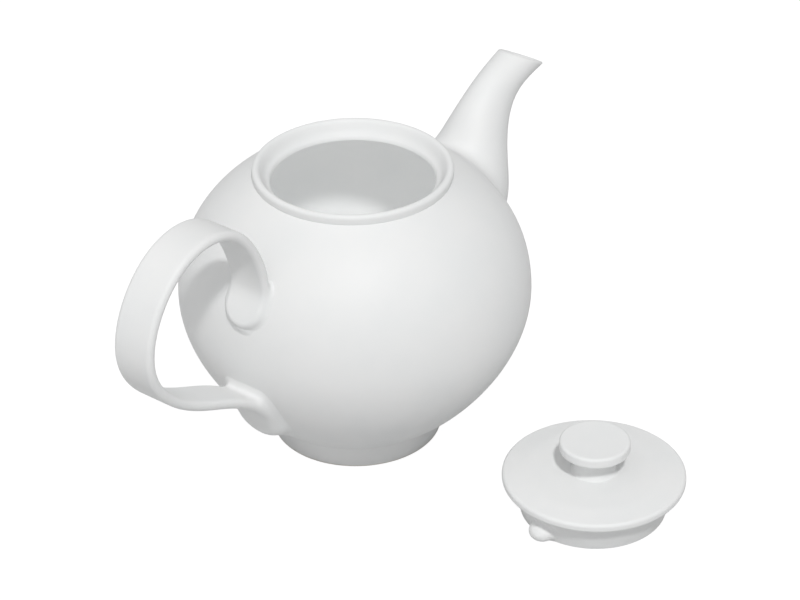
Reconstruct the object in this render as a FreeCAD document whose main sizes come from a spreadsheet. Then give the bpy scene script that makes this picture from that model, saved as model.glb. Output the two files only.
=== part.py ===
"""Porcelain teapot with a loose lid.

The pot stands on its foot ring at the origin, with its axis along +Z, the spout
towards +X and the handle towards -X.  The lid lies beside it on the -Y side,
on the same surface.  All sizes are in millimetres.
"""
import FreeCAD, Part
import os
import re
import Sketcher
from FreeCAD import Placement, Rotation, Vector

doc = FreeCAD.newDocument("teapot")
sheet = doc.addObject("Spreadsheet::Sheet", "sizes")

SIZES = {
    # pot, outside
    "belly_radius": 79.1,
    "belly_height": 72.7,
    "shoulder_rise": 34.0,
    "shoulder_radius": 55.9,
    "shoulder_depth": 11.7,
    "neck_radius": 43.0,
    "neck_depth": 4.8,
    "rim_height": 134.3,
    "underside_drop": 27.0,
    "underside_radius": 54.7,
    "underside_rise": 8.0,
    "foot_joint_radius": 41.3,
    "foot_height": 12.2,
    "foot_rest_radius": 37.6,
    "foot_wall": 4.2,
    "foot_edge": 0.9,
    "foot_recess": 8.0,
    "recess_edge": 1.8,
    # pot, inside
    "wall": 4.6,
    "floor_thickness": 5.4,
    "floor_radius": 28.0,
    "floor_turn": 19.0,
    # lip, and the sloping seat that the lid rests on
    "lip_outer_radius": 44.4,
    "lip_inner_radius": 41.0,
    "seat_depth": 2.9,
    "mouth_radius": 36.4,
    "mouth_depth": 6.5,
    "mouth_edge": 0.9,
    "mouth_land": 1.2,
    # strainer holes through the wall behind the spout
    "strainer_height": 82.0,
    "strainer_hole_radius": 2.6,
    "strainer_pitch": 9.0,
    # spout: centres, tilts and half sizes of its five sections, from root to tip
    "spout_root_radius": 67.0,
    "spout_root_rise": 14.3,
    "spout_tip_reach": 44.5,
    "spout_tip_rise": 2.1,
    "spout_bend_low": 0.10,
    "spout_bend_mid": 0.46,
    "spout_bend_high": 0.85,
    "spout_stand_low": 0.27,
    "spout_stand_mid": 0.43,
    "spout_stand_high": 0.67,
    "spout_root_tilt": 76.0,
    "spout_low_tilt": 59.0,
    "spout_mid_tilt": 47.0,
    "spout_high_tilt": 38.0,
    "spout_tip_tilt": 30.0,
    "spout_root_depth": 29.5,
    "spout_low_depth": 24.0,
    "spout_mid_depth": 17.0,
    "spout_high_depth": 11.4,
    "spout_tip_depth": 12.4,
    "spout_root_width": 26.5,
    "spout_low_width": 22.0,
    "spout_mid_width": 14.7,
    "spout_high_width": 9.7,
    "spout_tip_width": 10.0,
    "spout_wall": 2.8,
    "channel_overrun": 0.6,
    # handle: a flat strap luted to the shoulder and to the underside
    "strap_width": 20.4,
    "strap_thickness": 4.6,
    "strap_end_round": 9.9,
    "lute_depth": 1.2,
    "upper_lute_end": 0.187,
    "upper_lute_start": 0.315,
    "loop_throat": 9.0,
    "loop_throat_rise": 2.0,
    "loop_crest_inner": 2.7,
    "loop_crest_outer": 48.0,
    "loop_crest_rise": 77.3,
    "loop_back": 73.4,
    "loop_back_rise": 30.9,
    "loop_heel": 40.1,
    "loop_heel_drop": 4.1,
    "loop_ankle": 5.9,
    "loop_ankle_drop": 15.7,
    "lower_lute_end": 0.64,
    # lid, lying beside the pot
    "lid_gap": 5.7,
    "lid_offset": 10.5,
    "lid_clearance": 0.6,
    "skirt_clearance": 0.6,
    "skirt_height": 12.4,
    "skirt_taper": 3.6,
    "skirt_wall": 3.4,
    "skirt_edge": 0.9,
    "flange_rise": 6.6,
    "flange_edge": 1.6,
    "crown_rise": 1.0,
    "crown_radius": 29.5,
    "plate_thickness": 4.4,
    # knob
    "knob_radius": 15.6,
    "knob_thickness": 5.0,
    "knob_height": 15.6,
    "knob_edge": 1.3,
    "knob_neck_radius": 8.6,
    "knob_foot_radius": 10.6,
    # lug that keeps the lid in when the pot is tipped
    "lug_catch": 2.4,
    "lug_width": 11.0,
    "lug_height": 7.4,
    "lug_lift": 0.4,
    "lug_edge": 2.2,
    "lug_root": 2.0,
    "lug_angle": 174.0,
}

# a cubic curve's handle, as a share of the way to the corner, that makes it round
ROUND = 0.55
# the two handles, in radii, of a cubic curve that makes half a circle
HALF_TURN = "4 / 3"
STRAINER_RING = 6
# an edge lies flat if it rises by less than this
FLAT = 0.01
# the share of its plain sum that a cut has to take away, as the wall's slant changes it
CUT_SHARE = 0.8


def fill_sheet():
    for row, (name, size) in enumerate(SIZES.items(), start=1):
        sheet.set(f"A{row}", name)
        sheet.set(f"B{row}", str(size))
        sheet.setAlias(f"B{row}", name)
    doc.recompute()


def tied(expression):
    """Turn an expression of plain size names into one that reads the sheet."""
    names = "|".join(sorted(SIZES, key=len, reverse=True))
    return re.sub(rf"\b({names})\b", r"sizes.\1", str(expression))


def value(expression):
    return float(sheet.evalExpression(str(expression)))


# --- sketches whose points are tied to the sheet ------------------------------

def origin_plane(body, role):
    return next(f for f in body.Origin.OriginFeatures if f.Role == role)


def new_body(name):
    return doc.addObject("PartDesign::Body", name)


def new_sketch(body, name, role):
    sketch = body.newObject("Sketcher::SketchObject", name)
    sketch.AttachmentSupport = (origin_plane(body, role), [""])
    sketch.MapMode = "FlatFace"
    return sketch


def dimension(sketch, kind, refs, expression):
    """Add one driving constraint and bind it to the sheet."""
    index = sketch.addConstraint(Sketcher.Constraint(kind, *refs, value(expression)))
    name = f"{kind}_{index}"
    sketch.renameConstraint(index, name)
    sketch.setExpression(f"Constraints.{name}", tied(expression))


def pin(sketch, geometry, position, point):
    across, up = point
    dimension(sketch, "DistanceX", (-1, 1, geometry, position), across)
    dimension(sketch, "DistanceY", (-1, 1, geometry, position), up)


def vector(point):
    return Vector(value(point[0]), value(point[1]), 0)


def add_line(sketch, start, end):
    line = sketch.addGeometry(Part.LineSegment(vector(start), vector(end)), False)
    pin(sketch, line, 1, start)
    pin(sketch, line, 2, end)


def add_curve(sketch, poles):
    """Add a cubic spline through its end poles, each pole tied to the sheet."""
    spline = Part.BSplineCurve()
    spans = len(poles) - 3
    knots = [step / spans for step in range(spans + 1)]
    multiplicities = [4] + [1] * (spans - 1) + [4]
    spline.buildFromPolesMultsKnots([vector(p) for p in poles], multiplicities, knots, False, 3)
    curve = sketch.addGeometry(spline, False)
    first_circle = sketch.GeometryCount
    sketch.exposeInternalGeometry(curve)
    for number, pole in enumerate(poles):
        pin(sketch, first_circle + number, 3, pole)


def draw(sketch, start, *steps):
    """Draw an outline: a step of one point is a line, one of three a curve."""
    here = start
    for step in steps:
        if len(step) == 1:
            add_line(sketch, here, step[0])
        else:
            add_curve(sketch, [here, *step])
        here = step[-1]


def between(start, end, share):
    return tuple(f"({a}) * {1 - share} + ({b}) * {share}" for a, b in zip(start, end))


def rounded(start, corner, end):
    """The three poles that turn from start to end round a corner."""
    return between(start, corner, ROUND), between(end, corner, ROUND), end


def on_curve(poles, place):
    """The point of a four-pole curve at a named place along it, from 0 to 1."""
    shares = (f"(1 - {place})^3", f"3 * (1 - {place})^2 * {place}",
              f"3 * (1 - {place}) * {place}^2", f"{place}^3")
    return tuple(" + ".join(f"{share} * ({pole[axis]})" for share, pole in zip(shares, poles))
                 for axis in (0, 1))


def revolve(body, sketch, name):
    turned = body.newObject("PartDesign::Revolution", name)
    turned.Profile = sketch
    turned.ReferenceAxis = (sketch, ["V_Axis"])
    turned.Angle = 360
    return turned


def require_cut(before, body, least, what):
    """Stop unless the body has lost about that volume or more since it measured before."""
    lost = before - body.Tip.Shape.Volume
    if lost < CUT_SHARE * least:
        raise RuntimeError(f"{what} took away {lost:.1f} mm3 of at least {least:.1f}")


def cut(label, base, tool):
    result = doc.addObject("Part::Cut", f"{label}_trimmed")
    result.Base = base
    result.Tool = tool
    result.Label = label
    return result


# --- pot ----------------------------------------------------------------------

BELLY = ("belly_radius", "belly_height")
NECK = ("neck_radius", "rim_height - neck_depth")
FOOT_JOINT = ("foot_joint_radius", "foot_height")
SHOULDER = (BELLY, ("belly_radius", "belly_height + shoulder_rise"),
            ("shoulder_radius", "rim_height - shoulder_depth"), NECK)
UNDERSIDE = (BELLY, ("belly_radius", "belly_height - underside_drop"),
             ("underside_radius", "foot_height + underside_rise"), FOOT_JOINT)
FLOOR = "foot_recess + floor_thickness"
MOUTH = "rim_height - mouth_depth"
SEAT_SLOPE = "(mouth_depth - seat_depth) / (lip_inner_radius - mouth_radius)"


def lip_steps():
    """From the mouth's edge up the seat, over the lip and down to the neck."""
    seat_start = ("mouth_radius + mouth_edge", f"{MOUTH} + mouth_edge * {SEAT_SLOPE}")
    half = "(lip_outer_radius - lip_inner_radius) / 2"
    bead = f"rim_height - {half}"
    over = f"{bead} + {HALF_TURN} * {half}"
    return (
        rounded(("mouth_radius", f"{MOUTH} - mouth_edge"), ("mouth_radius", MOUTH), seat_start),
        (("lip_inner_radius", "rim_height - seat_depth"),),
        (("lip_inner_radius", bead),),
        (("lip_inner_radius", over), ("lip_outer_radius", over), ("lip_outer_radius", bead)),
        (("lip_outer_radius", f"{bead} - {half}"),
         between(NECK, ("lip_outer_radius", f"{bead} - {half}"), ROUND), NECK),
    )


def foot_steps():
    """From the foot's joint with the belly down, under the ring and up its recess."""
    outer = "foot_rest_radius + foot_edge"
    inner = "foot_rest_radius - foot_wall"
    ring = f"{inner} - foot_edge"
    return (
        ((outer, "foot_edge"),),
        rounded((outer, "foot_edge"), (outer, "0"), ("foot_rest_radius", "0")),
        ((f"{inner} + foot_edge", "0"),),
        rounded((f"{inner} + foot_edge", "0"), (inner, "0"), (inner, "foot_edge")),
        ((ring, "foot_recess - recess_edge"),),
        rounded((ring, "foot_recess - recess_edge"), (ring, "foot_recess"),
                (f"{ring} - recess_edge", "foot_recess")),
        (("0", "foot_recess"),),
        (("0", FLOOR),),
    )


def make_pot():
    body = new_body("pot")
    body.Label = "pot_body"
    profile = new_sketch(body, "pot_profile", "XZ_Plane")
    inside = ("belly_radius - wall", "belly_height")
    draw(
        profile, ("0", FLOOR),
        (("floor_radius", FLOOR),),
        (("floor_radius + floor_turn", FLOOR),
         ("belly_radius - wall", "belly_height - underside_drop"), inside),
        (("belly_radius - wall", "belly_height + shoulder_rise"),
         ("shoulder_radius - wall / 2", "rim_height - shoulder_depth - wall"),
         ("mouth_radius", f"{MOUTH} - mouth_land")),
        (("mouth_radius", f"{MOUTH} - mouth_edge"),),
        *lip_steps(),
        SHOULDER[2::-1],
        UNDERSIDE[1:],
        *foot_steps(),
    )
    body.Tip = revolve(body, profile, "pot_turned")
    doc.recompute()
    pierce_strainer(body)
    return body


def pierce_strainer(body):
    """One hole in the middle of the spout's root and a ring of holes round it."""
    solid_wall = body.Tip.Shape.Volume
    centre = strainer_hole(body, "strainer_middle", "0")
    ring = strainer_hole(body, "strainer_ring", "strainer_pitch")
    pattern = body.newObject("PartDesign::PolarPattern", "strainer_holes")
    pattern.Originals = [ring]
    pattern.Axis = (centre.Profile[0], ["N_Axis"])
    pattern.Angle = 360
    pattern.Occurrences = STRAINER_RING
    body.Tip = pattern
    doc.recompute()
    hole = Part.Face(Part.Wire(ring.Profile[0].Shape.Edges)).Area * value("wall")
    require_cut(solid_wall, body, hole * (1 + STRAINER_RING), "the strainer")


def strainer_hole(body, name, pitch):
    sketch = new_sketch(body, f"{name}_sketch", "YZ_Plane")
    sketch.setExpression("AttachmentOffset.Base.y", tied("strainer_height"))
    middle = Vector(value(pitch), 0, 0)
    hole = sketch.addGeometry(
        Part.Circle(middle, Vector(0, 0, 1), value("strainer_hole_radius")), False)
    pin(sketch, hole, 3, (pitch, "0"))
    dimension(sketch, "Radius", (hole,), "strainer_hole_radius")
    pocket = body.newObject("PartDesign::Pocket", name)
    pocket.Profile = sketch
    pocket.Type = "Length"
    pocket.setExpression("Length", tied("2 * belly_radius"))
    pocket.Reversed = True
    doc.recompute()
    return pocket


def make_envelope():
    """The pot's outer form as one solid, which trims what is luted to it."""
    body = new_body("envelope")
    profile = new_sketch(body, "envelope_profile", "XZ_Plane")
    draw(
        profile, ("0", "foot_height"),
        (FOOT_JOINT,),
        UNDERSIDE[2::-1],
        SHOULDER[1:],
        (("0", NECK[1]),),
        (("0", "foot_height"),),
    )
    body.Tip = revolve(body, profile, "envelope_turned")
    return body


# --- spout --------------------------------------------------------------------

ROOT_HEIGHT = "(belly_height + spout_root_rise)"
TIP_RADIUS = "(belly_radius + spout_tip_reach)"
TIP_HEIGHT = "(rim_height + spout_tip_rise)"


def spout_centre(stand, bend):
    """A centre between root and tip: how far out it stands and how far up it is."""
    root, tip = ("spout_root_radius", ROOT_HEIGHT), (TIP_RADIUS, TIP_HEIGHT)
    out = f"{root[0]} + {stand} * ({tip[0]} - {root[0]})"
    up = f"{root[1]} + {bend} * ({tip[1]} - {root[1]})"
    return out, up


def spout_sections():
    places = (("root", "0", "0"), ("low", "spout_stand_low", "spout_bend_low"),
              ("mid", "spout_stand_mid", "spout_bend_mid"),
              ("high", "spout_stand_high", "spout_bend_high"), ("tip", "1", "1"))
    return [(name, spout_centre(stand, bend)) for name, stand, bend in places]


def add_ellipse(sketch, half_depth, half_width):
    long_half, short_half = value(half_depth), value(half_width)
    form = Part.Ellipse(Vector(long_half, 0, 0), Vector(0, short_half, 0), Vector(0, 0, 0))
    ellipse = sketch.addGeometry(form, False)
    sketch.exposeInternalGeometry(ellipse)
    long_axis, short_axis = ellipse + 1, ellipse + 2
    pin(sketch, ellipse, 3, ("0", "0"))
    sketch.addConstraint(Sketcher.Constraint("Horizontal", long_axis))
    dimension(sketch, "Distance", (long_axis,), f"2 * ({half_depth})")
    dimension(sketch, "Distance", (short_axis,), f"2 * ({half_width})")


def tilt_sketch(sketch, centre, tilt):
    """Place a sketch in the XZ plane's symmetry, tipped about Y by a named angle."""
    place = Vector(value(centre[0]), 0, value(centre[1]))
    sketch.AttachmentOffset = Placement(place, Rotation(Vector(0, 1, 0), value(tilt)))
    sketch.setExpression("AttachmentOffset.Base.x", tied(centre[0]))
    sketch.setExpression("AttachmentOffset.Base.z", tied(centre[1]))
    sketch.setExpression("AttachmentOffset.Rotation.Angle", tied(tilt))


def loft_spout(body, kind, name, inset, overrun):
    sketches = []
    for place, centre in spout_sections():
        sketch = new_sketch(body, f"{name}_{place}", "XY_Plane")
        out = f"{centre[0]} + {overrun}" if place == "tip" else centre[0]
        up = f"{centre[1]} + {overrun}" if place == "tip" else centre[1]
        tilt_sketch(sketch, (out, up), f"spout_{place}_tilt")
        add_ellipse(sketch, f"spout_{place}_depth - {inset}", f"spout_{place}_width - {inset}")
        sketches.append(sketch)
    loft = body.newObject(f"PartDesign::{kind}", name)
    loft.Profile = sketches[0]
    loft.Sections = sketches[1:]
    loft.Ruled = False
    doc.recompute()
    return loft


def make_spout(envelope):
    body = new_body("spout_blank")
    blank = loft_spout(body, "AdditiveLoft", "spout_outside", "0", "0").Shape.Volume
    body.Tip = loft_spout(body, "SubtractiveLoft", "spout_channel", "spout_wall",
                          "channel_overrun")
    require_cut(blank, body, blank / 3, "the spout's channel")
    return cut("spout", body, envelope)


# --- handle -------------------------------------------------------------------

def surface_point(curve, place):
    """A point of the pot's side where the strap's middle lies, sunk for luting."""
    out, up = on_curve(curve, place)
    return f"-({out} + strap_thickness / 2 - lute_depth)", up


def loop_poles():
    """Poles of the strap's middle line, from the upper lute round to the lower one."""
    top_end = surface_point(SHOULDER, "upper_lute_end")
    top_start = surface_point(SHOULDER, "upper_lute_start")
    return (
        top_end,
        top_start,
        (f"{top_start[0]} + loop_throat", f"{top_start[1]} + loop_throat_rise"),
        ("-(belly_radius + loop_crest_inner)", "belly_height + loop_crest_rise"),
        ("-(belly_radius + loop_crest_outer)", "belly_height + loop_crest_rise"),
        ("-(belly_radius + loop_back)", "belly_height + loop_back_rise"),
        ("-(belly_radius + loop_heel)", "belly_height - loop_heel_drop"),
        ("-(belly_radius - loop_ankle)", "belly_height - loop_ankle_drop"),
        surface_point(UNDERSIDE, "lower_lute_end"),
    )


def add_strap_section(sketch):
    """A flat strap's section with fully round edges, thickness along the sketch's X."""
    half = "strap_thickness / 2"
    side = f"strap_width / 2 - {half}"
    over = f"{side} + {HALF_TURN} * {half}"
    draw(
        sketch, (half, f"-({side})"),
        ((half, side),),
        ((half, over), (f"-{half}", over), (f"-{half}", side)),
        ((f"-{half}", f"-({side})"),),
        ((f"-{half}", f"-({over})"), (half, f"-({over})"), (half, f"-({side})")),
    )


def round_strap_end(body, name, tip):
    """Cut the strap's end to a half circle, seen along X, with its tip at that height."""
    before = body.Tip.Shape.Volume
    sketch = new_sketch(body, f"{name}_sketch", "YZ_Plane")
    side = f"{tip} + strap_end_round"
    below = f"{tip} - strap_width"
    bulge = f"{side} - {HALF_TURN} * strap_end_round"
    draw(
        sketch, ("-strap_width", below),
        (("strap_width", below),),
        (("strap_width", side),),
        (("strap_end_round", side),),
        (("strap_end_round", bulge), ("-strap_end_round", bulge), ("-strap_end_round", side)),
        (("-strap_width", side),),
        (("-strap_width", below),),
    )
    pocket = body.newObject("PartDesign::Pocket", name)
    pocket.Profile = sketch
    pocket.Type = "Length"
    pocket.setExpression("Length", tied("belly_radius + 2 * strap_thickness"))
    body.Tip = pocket
    doc.recompute()
    corners = value("strap_thickness * strap_end_round^2 / 4")
    require_cut(before, body, corners, name)


def make_handle(envelope):
    body = new_body("handle_strap")
    poles = loop_poles()
    path = new_sketch(body, "loop_path", "XZ_Plane")
    add_curve(path, poles)
    section = new_sketch(body, "strap_section", "XY_Plane")
    run = [f"({b}) - ({a})" for a, b in zip(poles[0], poles[1])]
    tilt_sketch(section, poles[0], f"atan2({run[0]}; {run[1]})")
    add_strap_section(section)
    strap = body.newObject("PartDesign::AdditivePipe", "strap")
    strap.Profile = section
    strap.Spine = path
    strap.Mode = "Binormal"
    strap.Binormal = Vector(0, 1, 0)
    body.Tip = strap
    doc.recompute()
    round_strap_end(body, "upper_end", poles[0][1])
    round_strap_end(body, "lower_end", poles[-1][1])
    return cut("handle", body, envelope)


# --- lid ----------------------------------------------------------------------

FLANGE_RADIUS = "(lip_inner_radius - lid_clearance)"
SKIRT_TOP = "(mouth_radius - skirt_clearance)"
SKIRT_FOOT = "(mouth_radius - skirt_clearance - skirt_taper)"
FLANGE_TOP = "(skirt_height + flange_rise)"
CROWN_TOP = "(skirt_height + flange_rise + crown_rise)"
LID_PLACE = ("lid_offset", f"-(belly_radius + lid_gap + {FLANGE_RADIUS})")


def lay_beside_pot(body):
    body.setExpression("Placement.Base.x", tied(LID_PLACE[0]))
    body.setExpression("Placement.Base.y", tied(LID_PLACE[1]))


def make_lid():
    body = new_body("lid_turned")
    body.Label = "lid"
    lay_beside_pot(body)
    profile = new_sketch(body, "lid_profile", "XZ_Plane")
    inner = f"{SKIRT_FOOT} - skirt_wall"
    under = f"{CROWN_TOP} - plate_thickness"
    sole = "-skirt_edge / 3"  # a handle this low brings the rounded bottom down to zero
    lower_edge = (f"{FLANGE_RADIUS} - flange_edge",
                  f"skirt_height + ({FLANGE_RADIUS} - flange_edge - {SKIRT_TOP}) * {SEAT_SLOPE}")
    edge_foot = (FLANGE_RADIUS, f"{lower_edge[1]} + flange_edge")
    edge_head = (FLANGE_RADIUS, f"{FLANGE_TOP} - flange_edge")
    edge_top = (f"{FLANGE_RADIUS} - flange_edge", FLANGE_TOP)
    draw(
        profile, ("0", under),
        ((f"{inner} - skirt_wall", under),),
        rounded((f"{inner} - skirt_wall", under), (inner, under), (inner, f"{under} - skirt_wall")),
        ((inner, "skirt_edge"),),
        ((inner, sole), (SKIRT_FOOT, sole), (SKIRT_FOOT, "skirt_edge")),
        ((SKIRT_TOP, "skirt_height"),),
        (lower_edge,),
        rounded(lower_edge, (FLANGE_RADIUS, lower_edge[1]), edge_foot),
        (edge_head,),
        rounded(edge_head, (FLANGE_RADIUS, FLANGE_TOP), edge_top),
        (("crown_radius", CROWN_TOP),),
        (("0", CROWN_TOP),),
        (("0", under),),
    )
    body.Tip = revolve(body, profile, "lid_form")
    return body


def make_knob():
    body = new_body("knob_turned")
    body.Label = "lid_knob"
    lay_beside_pot(body)
    profile = new_sketch(body, "knob_profile", "XZ_Plane")
    top = f"{CROWN_TOP} + knob_height"
    disc = f"{top} - knob_thickness"
    neck = ("knob_neck_radius", f"{CROWN_TOP} + (knob_height - knob_thickness) / 2")
    rim = "knob_radius - knob_edge"
    draw(
        profile, ("0", CROWN_TOP),
        (("knob_foot_radius", CROWN_TOP),),
        rounded(("knob_foot_radius", CROWN_TOP), ("knob_neck_radius", CROWN_TOP), neck),
        rounded(neck, ("knob_neck_radius", disc), ("knob_foot_radius", disc)),
        ((rim, disc),),
        rounded((rim, disc), ("knob_radius", disc), ("knob_radius", f"{disc} + knob_edge")),
        (("knob_radius", f"{top} - knob_edge"),),
        rounded(("knob_radius", f"{top} - knob_edge"), ("knob_radius", top), (rim, top)),
        (("0", top),),
        (("0", CROWN_TOP),),
    )
    body.Tip = revolve(body, profile, "knob_form")
    return body


def make_lug(lid):
    body = new_body("lug_blank")
    turn = Rotation(Vector(0, 0, 1), value("lug_angle"))
    body.Placement = Placement(Vector(value(LID_PLACE[0]), value(LID_PLACE[1]), 0), turn)
    lay_beside_pot(body)
    body.setExpression("Placement.Rotation.Angle", tied("lug_angle"))
    plan = new_sketch(body, "lug_plan", "XY_Plane")
    plan.setExpression("AttachmentOffset.Base.z", tied("lug_lift"))
    root = f"{SKIRT_FOOT} - lug_root"
    reach = "mouth_radius + lug_catch"
    half = "lug_width / 2"
    shoulder = f"{reach} - {half}"
    draw(
        plan, (root, f"-{half}"),
        ((shoulder, f"-{half}"),),
        rounded((shoulder, f"-{half}"), (reach, f"-{half}"), (reach, "0")),
        rounded((reach, "0"), (reach, half), (shoulder, half)),
        ((root, half),),
        ((root, f"-{half}"),),
    )
    pad = body.newObject("PartDesign::Pad", "lug_pad")
    pad.Profile = plan
    pad.setExpression("Length", tied("lug_height"))
    doc.recompute()
    soft = body.newObject("PartDesign::Fillet", "lug_soft")
    soft.Base = (pad, flat_edges(pad.Shape))
    soft.setExpression("Radius", tied("lug_edge"))
    body.Tip = soft
    doc.recompute()
    return cut("lid_lug", body, lid)


def flat_edges(shape):
    """Names of the edges that run round the top and the bottom, not up the sides."""
    return [f"Edge{number}" for number, edge in enumerate(shape.Edges, start=1)
            if edge.BoundBox.ZLength < FLAT]


# --- checks and export --------------------------------------------------------

def check(parts):
    for item in doc.Objects:
        if {"Invalid", "Error"} & set(item.State):
            raise RuntimeError(f"{item.Label} did not build: {item.State}")
    for part in parts:
        shape = part.Shape
        if shape.isNull() or not shape.isValid() or len(shape.Solids) != 1:
            raise RuntimeError(f"{part.Label} is not one valid solid")
        print(f"{part.Label}: {shape.Volume / 1000:.1f} cm3")


def main():
    fill_sheet()
    envelope = make_envelope()
    lid = make_lid()
    parts = [make_pot(), make_spout(envelope), make_handle(envelope), lid,
             make_knob(), make_lug(lid)]
    doc.recompute()
    check(parts)
    os.makedirs("parts", exist_ok=True)
    for part in parts:
        part.Shape.exportStep(f"parts/{part.Label}.step")


main()
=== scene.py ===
"""Looks of a white porcelain teapot with its lid lying beside it.

Lengths inside the shape code are in millimetres, and every mesh is written in metres.
"""

import math

import bmesh
import bpy
import numpy as np
from mathutils import Matrix, Vector


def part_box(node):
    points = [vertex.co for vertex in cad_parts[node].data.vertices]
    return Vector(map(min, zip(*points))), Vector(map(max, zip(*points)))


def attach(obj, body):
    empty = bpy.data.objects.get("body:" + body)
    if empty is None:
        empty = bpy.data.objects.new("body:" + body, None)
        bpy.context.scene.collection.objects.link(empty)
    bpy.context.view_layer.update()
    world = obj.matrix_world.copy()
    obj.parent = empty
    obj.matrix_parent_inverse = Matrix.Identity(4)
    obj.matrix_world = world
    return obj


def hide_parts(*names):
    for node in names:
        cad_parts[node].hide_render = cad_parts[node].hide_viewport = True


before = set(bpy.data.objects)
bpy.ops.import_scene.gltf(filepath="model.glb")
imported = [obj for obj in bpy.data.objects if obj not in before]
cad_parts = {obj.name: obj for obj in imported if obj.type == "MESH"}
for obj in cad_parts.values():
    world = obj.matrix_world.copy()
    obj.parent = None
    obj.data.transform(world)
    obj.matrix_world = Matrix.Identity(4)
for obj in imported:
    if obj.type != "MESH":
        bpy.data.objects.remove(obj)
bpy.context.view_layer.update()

MM = 0.001
AXIS = np.zeros(2)

# --- driving dimensions, in millimetres, read from the frame --------------------


def node_box(name):
    low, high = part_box(name)
    return np.array(low) / MM, np.array(high) / MM


POT_HIGH = node_box("pot_body")[1]
LID_LOW, LID_HIGH = node_box("lid")
KNOB_LOW, KNOB_HIGH = node_box("lid_knob")
LUG_LOW = node_box("lid_lug")[0]
STRAP_LOW, STRAP_HIGH = node_box("handle")

BELLY_RADIUS = POT_HIGH[0]
RIM_HEIGHT = POT_HIGH[2]
LID_CENTRE = (LID_LOW[:2] + LID_HIGH[:2]) / 2
FLANGE_RADIUS = (LID_HIGH[0] - LID_LOW[0]) / 2
CROWN_TOP = LID_HIGH[2]
KNOB_TOP = KNOB_HIGH[2]
KNOB_RADIUS = (KNOB_HIGH[0] - KNOB_LOW[0]) / 2
STRAP_WIDTH = STRAP_HIGH[1] - STRAP_LOW[1]

# pot
BELLY_HEIGHT = 72.7
SHOULDER_RISE = 34.0
SHOULDER_RADIUS = 55.9
SHOULDER_HEIGHT = RIM_HEIGHT - 11.7
NECK_RADIUS = 44.1
NECK_HEIGHT = RIM_HEIGHT - 4.3
UNDERSIDE_DROP = 27.0
UNDERSIDE_RADIUS = 54.7
FOOT_JOINT_RADIUS = 41.3
FOOT_HEIGHT = 12.2
UNDERSIDE_HEIGHT = FOOT_HEIGHT + 8.0
FOOT_REST_RADIUS = 37.6
FOOT_WALL = 4.2
FOOT_EDGE = 0.9
FOOT_RECESS = 8.0
RECESS_EDGE = 1.8
WALL = 4.6
FLOOR = FOOT_RECESS + 5.4
FLOOR_RADIUS = 28.0
FLOOR_TURN = 19.0
LIP_OUTER = 44.4
LIP_INNER = 41.0
SEAT_TOP = RIM_HEIGHT - 2.9
MOUTH_RADIUS = 36.4
MOUTH_HEIGHT = RIM_HEIGHT - 6.5
MOUTH_EDGE = 0.9
MOUTH_LAND = 1.2
# glaze pools this far along the seat, in the corner below the lip
SEAT_POOL = 3.2
SEAT_SLOPE = (SEAT_TOP - MOUTH_HEIGHT) / (LIP_INNER - MOUTH_RADIUS)
STRAINER_HEIGHT = 82.0
STRAINER_HOLE = 2.6
STRAINER_PITCH = 9.0
STRAINER_RING = 6
# the glaze stops this far above the ground, where the foot is wiped clean
BARE_FOOT = 1.1

# a cubic curve's handle, as a share of the way to a corner, that makes it round
ROUND = 0.55


# --- outlines ---------------------------------------------------------------------

CURVE_STEPS = 28
EDGE_POINT = 0.22
LINE_PITCH = 2.4


def bezier(poles, steps=CURVE_STEPS):
    t = np.linspace(0, 1, steps + 1)[:, None]
    a, b, c, d = (np.array(p, float) for p in poles)
    return (1 - t) ** 3 * a + 3 * (1 - t) ** 2 * t * b + 3 * (1 - t) * t ** 2 * c + t ** 3 * d


def line(start, end):
    """Points along a line, with one close to each end so that a corner stays crisp."""
    start, end = np.array(start, float), np.array(end, float)
    length = np.linalg.norm(end - start)
    if length < 4 * EDGE_POINT:
        return np.array([start, end])
    inner = np.linspace(EDGE_POINT, length - EDGE_POINT, max(2, round(length / LINE_PITCH)))
    along = np.concatenate([[0], inner, [length]]) / length
    return start + along[:, None] * (end - start)


def outline(start, *steps):
    """An outline of (radius, height): a step of one point is a line, one of three a curve."""
    points = [np.array([start], float)]
    for step in steps:
        here = points[-1][-1]
        run = line(here, step[0]) if len(step) == 1 else bezier([here, *step])
        points.append(run[1:])
    return np.concatenate(points)


def mix(start, end, share):
    return tuple(a + share * (b - a) for a, b in zip(start, end))


def rounded(start, corner, end):
    return mix(start, corner, ROUND), mix(end, corner, ROUND), end


BELLY = (BELLY_RADIUS, BELLY_HEIGHT)
NECK = (NECK_RADIUS, NECK_HEIGHT)
FOOT_JOINT = (FOOT_JOINT_RADIUS, FOOT_HEIGHT)
SHOULDER = (BELLY, (BELLY_RADIUS, BELLY_HEIGHT + SHOULDER_RISE),
            (SHOULDER_RADIUS, SHOULDER_HEIGHT), NECK)
UNDERSIDE = (BELLY, (BELLY_RADIUS, BELLY_HEIGHT - UNDERSIDE_DROP),
             (UNDERSIDE_RADIUS, UNDERSIDE_HEIGHT), FOOT_JOINT)


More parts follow.
